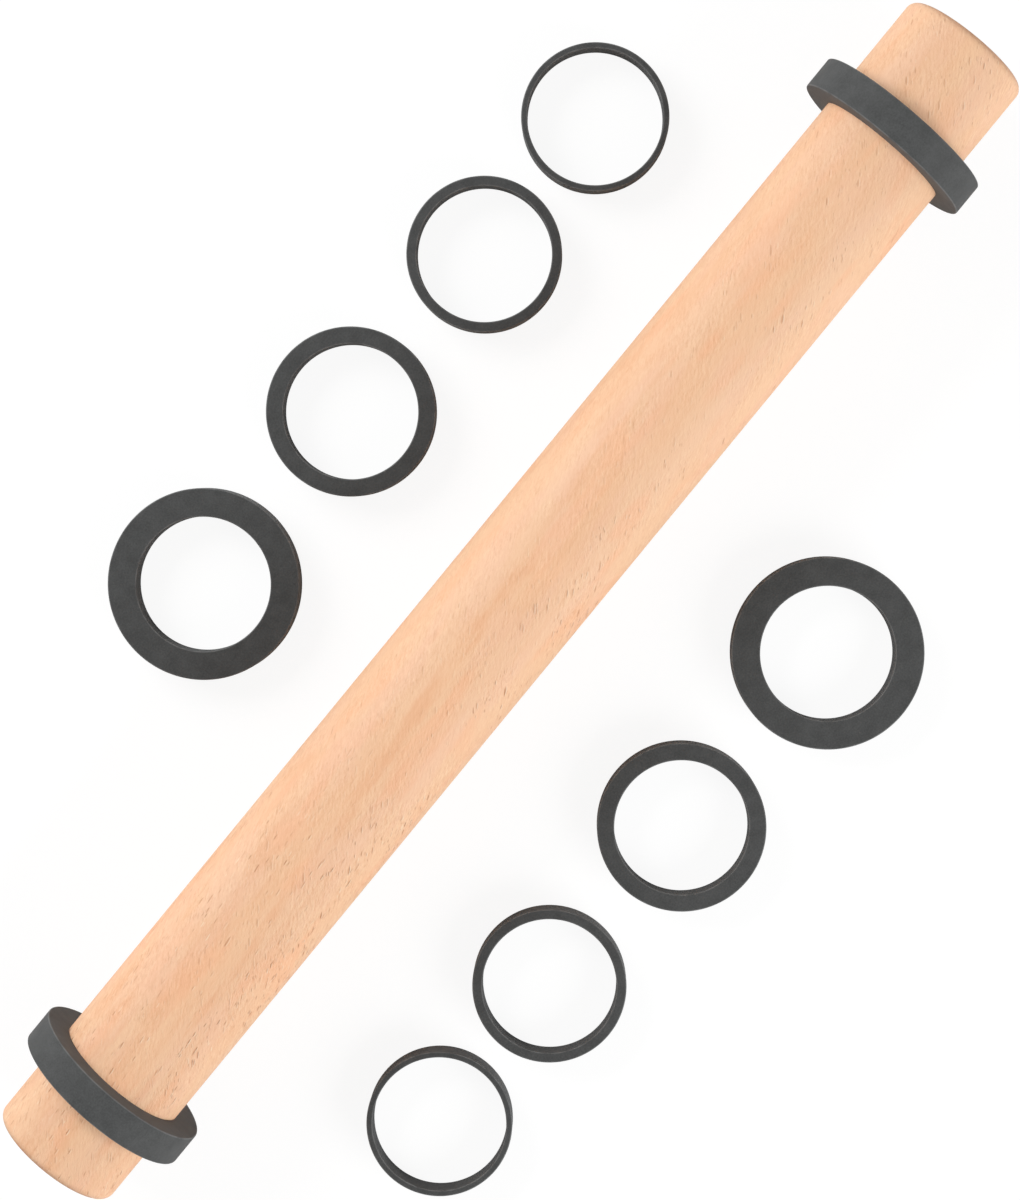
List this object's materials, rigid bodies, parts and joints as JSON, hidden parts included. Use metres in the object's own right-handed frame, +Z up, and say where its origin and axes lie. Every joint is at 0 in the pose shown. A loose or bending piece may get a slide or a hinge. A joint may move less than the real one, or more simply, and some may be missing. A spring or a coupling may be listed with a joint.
{
  "type": "adjustable rolling pin",
  "caption": "Straight beech rolling pin with a charcoal silicone depth ring pushed on near each end, and pairs of other thicknesses laid flat beside it.",
  "frame": {"origin": "on the table plane under the middle of the ground that the whole set covers; the dowel's axis runs parallel to X at y = 0.0051 m, z = 0.0313 m", "axes": "+X along the dowel towards the end with ring a, +Y towards row a of the loose rings, +Z up from the table"},
  "size_m": [0.463, 0.2364, 0.0626],
  "materials": {
    "beech": "bare sanded beech, fine grain along the length, satin",
    "silicone": "matte charcoal silicone, smooth moulded surface"
  },
  "bodies": {
    "dowel": {"dowel": "beech"},
    "fitted_ring_a": {"fitted_ring_a": "silicone"},
    "fitted_ring_b": {"fitted_ring_b": "silicone"},
    "thickest_ring_a": {"thickest_ring_a": "silicone"},
    "thick_ring_a": {"thick_ring_a": "silicone"},
    "thin_ring_a": {"thin_ring_a": "silicone"},
    "thinnest_ring_a": {"thinnest_ring_a": "silicone"},
    "thickest_ring_b": {"thickest_ring_b": "silicone"},
    "thick_ring_b": {"thick_ring_b": "silicone"},
    "thin_ring_b": {"thin_ring_b": "silicone"},
    "thinnest_ring_b": {"thinnest_ring_b": "silicone"}
  },
  "joints": [
    {"name": "fitted_ring_a_slide", "type": "slide", "parent": "dowel", "child": "fitted_ring_a", "axis": [1, 0, 0], "range_m": [-0.187, 0.063]},
    {"name": "fitted_ring_b_slide", "type": "slide", "parent": "dowel", "child": "fitted_ring_b", "axis": [-1, 0, 0], "range_m": [-0.194, 0.056]},
    {"name": "thickest_ring_a_lift", "type": "slide", "parent": "dowel", "child": "thickest_ring_a", "axis": [0, 0, 1], "range_m": [0, 0.1]},
    {"name": "thick_ring_a_lift", "type": "slide", "parent": "dowel", "child": "thick_ring_a", "axis": [0, 0, 1], "range_m": [0, 0.1]},
    {"name": "thin_ring_a_lift", "type": "slide", "parent": "dowel", "child": "thin_ring_a", "axis": [0, 0, 1], "range_m": [0, 0.1]},
    {"name": "thinnest_ring_a_lift", "type": "slide", "parent": "dowel", "child": "thinnest_ring_a", "axis": [0, 0, 1], "range_m": [0, 0.1]},
    {"name": "thickest_ring_b_lift", "type": "slide", "parent": "dowel", "child": "thickest_ring_b", "axis": [0, 0, 1], "range_m": [0, 0.1]},
    {"name": "thick_ring_b_lift", "type": "slide", "parent": "dowel", "child": "thick_ring_b", "axis": [0, 0, 1], "range_m": [0, 0.1]},
    {"name": "thin_ring_b_lift", "type": "slide", "parent": "dowel", "child": "thin_ring_b", "axis": [0, 0, 1], "range_m": [0, 0.1]},
    {"name": "thinnest_ring_b_lift", "type": "slide", "parent": "dowel", "child": "thinnest_ring_b", "axis": [0, 0, 1], "range_m": [0, 0.1]}
  ]
}
